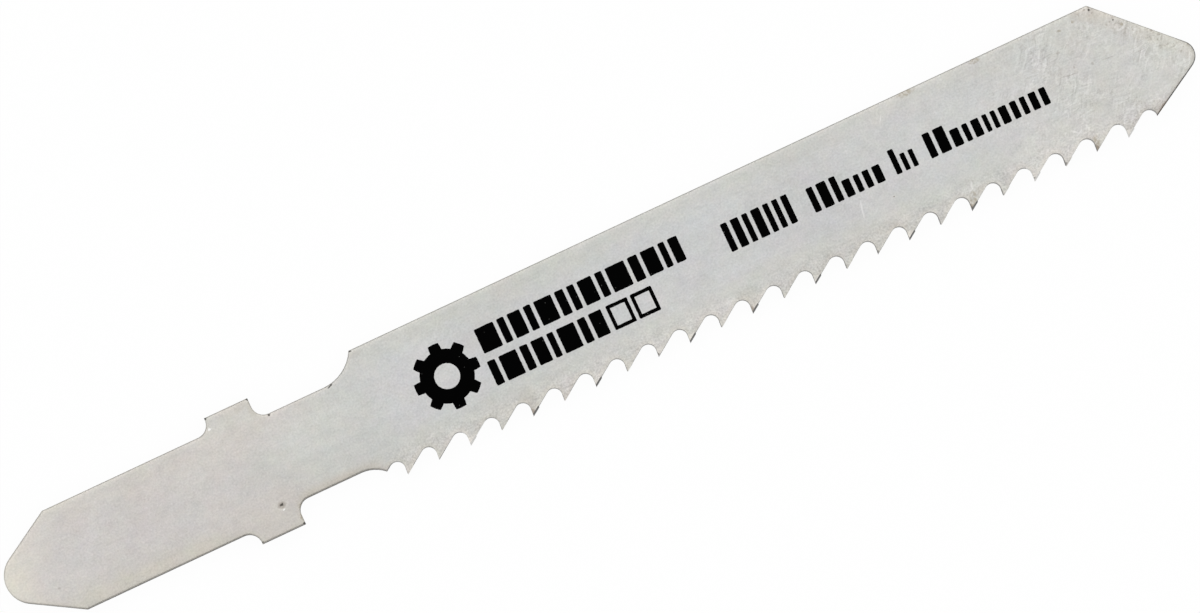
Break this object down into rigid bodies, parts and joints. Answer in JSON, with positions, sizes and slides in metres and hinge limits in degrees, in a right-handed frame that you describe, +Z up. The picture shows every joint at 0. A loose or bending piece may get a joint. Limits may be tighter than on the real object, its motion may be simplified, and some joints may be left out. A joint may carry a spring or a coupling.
{
  "type": "jigsaw blade",
  "caption": "Flat T-shank saw blade for a jigsaw: pointed tang, side lugs, narrow neck, straight back edge, angled tip and milled, set teeth along its front edge.",
  "frame": {"origin": "middle of the blade's bounding box, on the surface that the blade lies on, 0.03 mm below its underside because the set teeth stand proud of it", "axes": "+X along the blade from the tang to the tip, +Y towards the straight back edge with the teeth pointing to -Y, +Z up through the thickness, out of the printed side"},
  "size_m": [0.0753, 0.008, 0.0011],
  "materials": {
    "steel": "bright satin sheet steel with milled teeth"
  },
  "bodies": {
    "root": {"blade": "steel"}
  },
  "joints": []
}
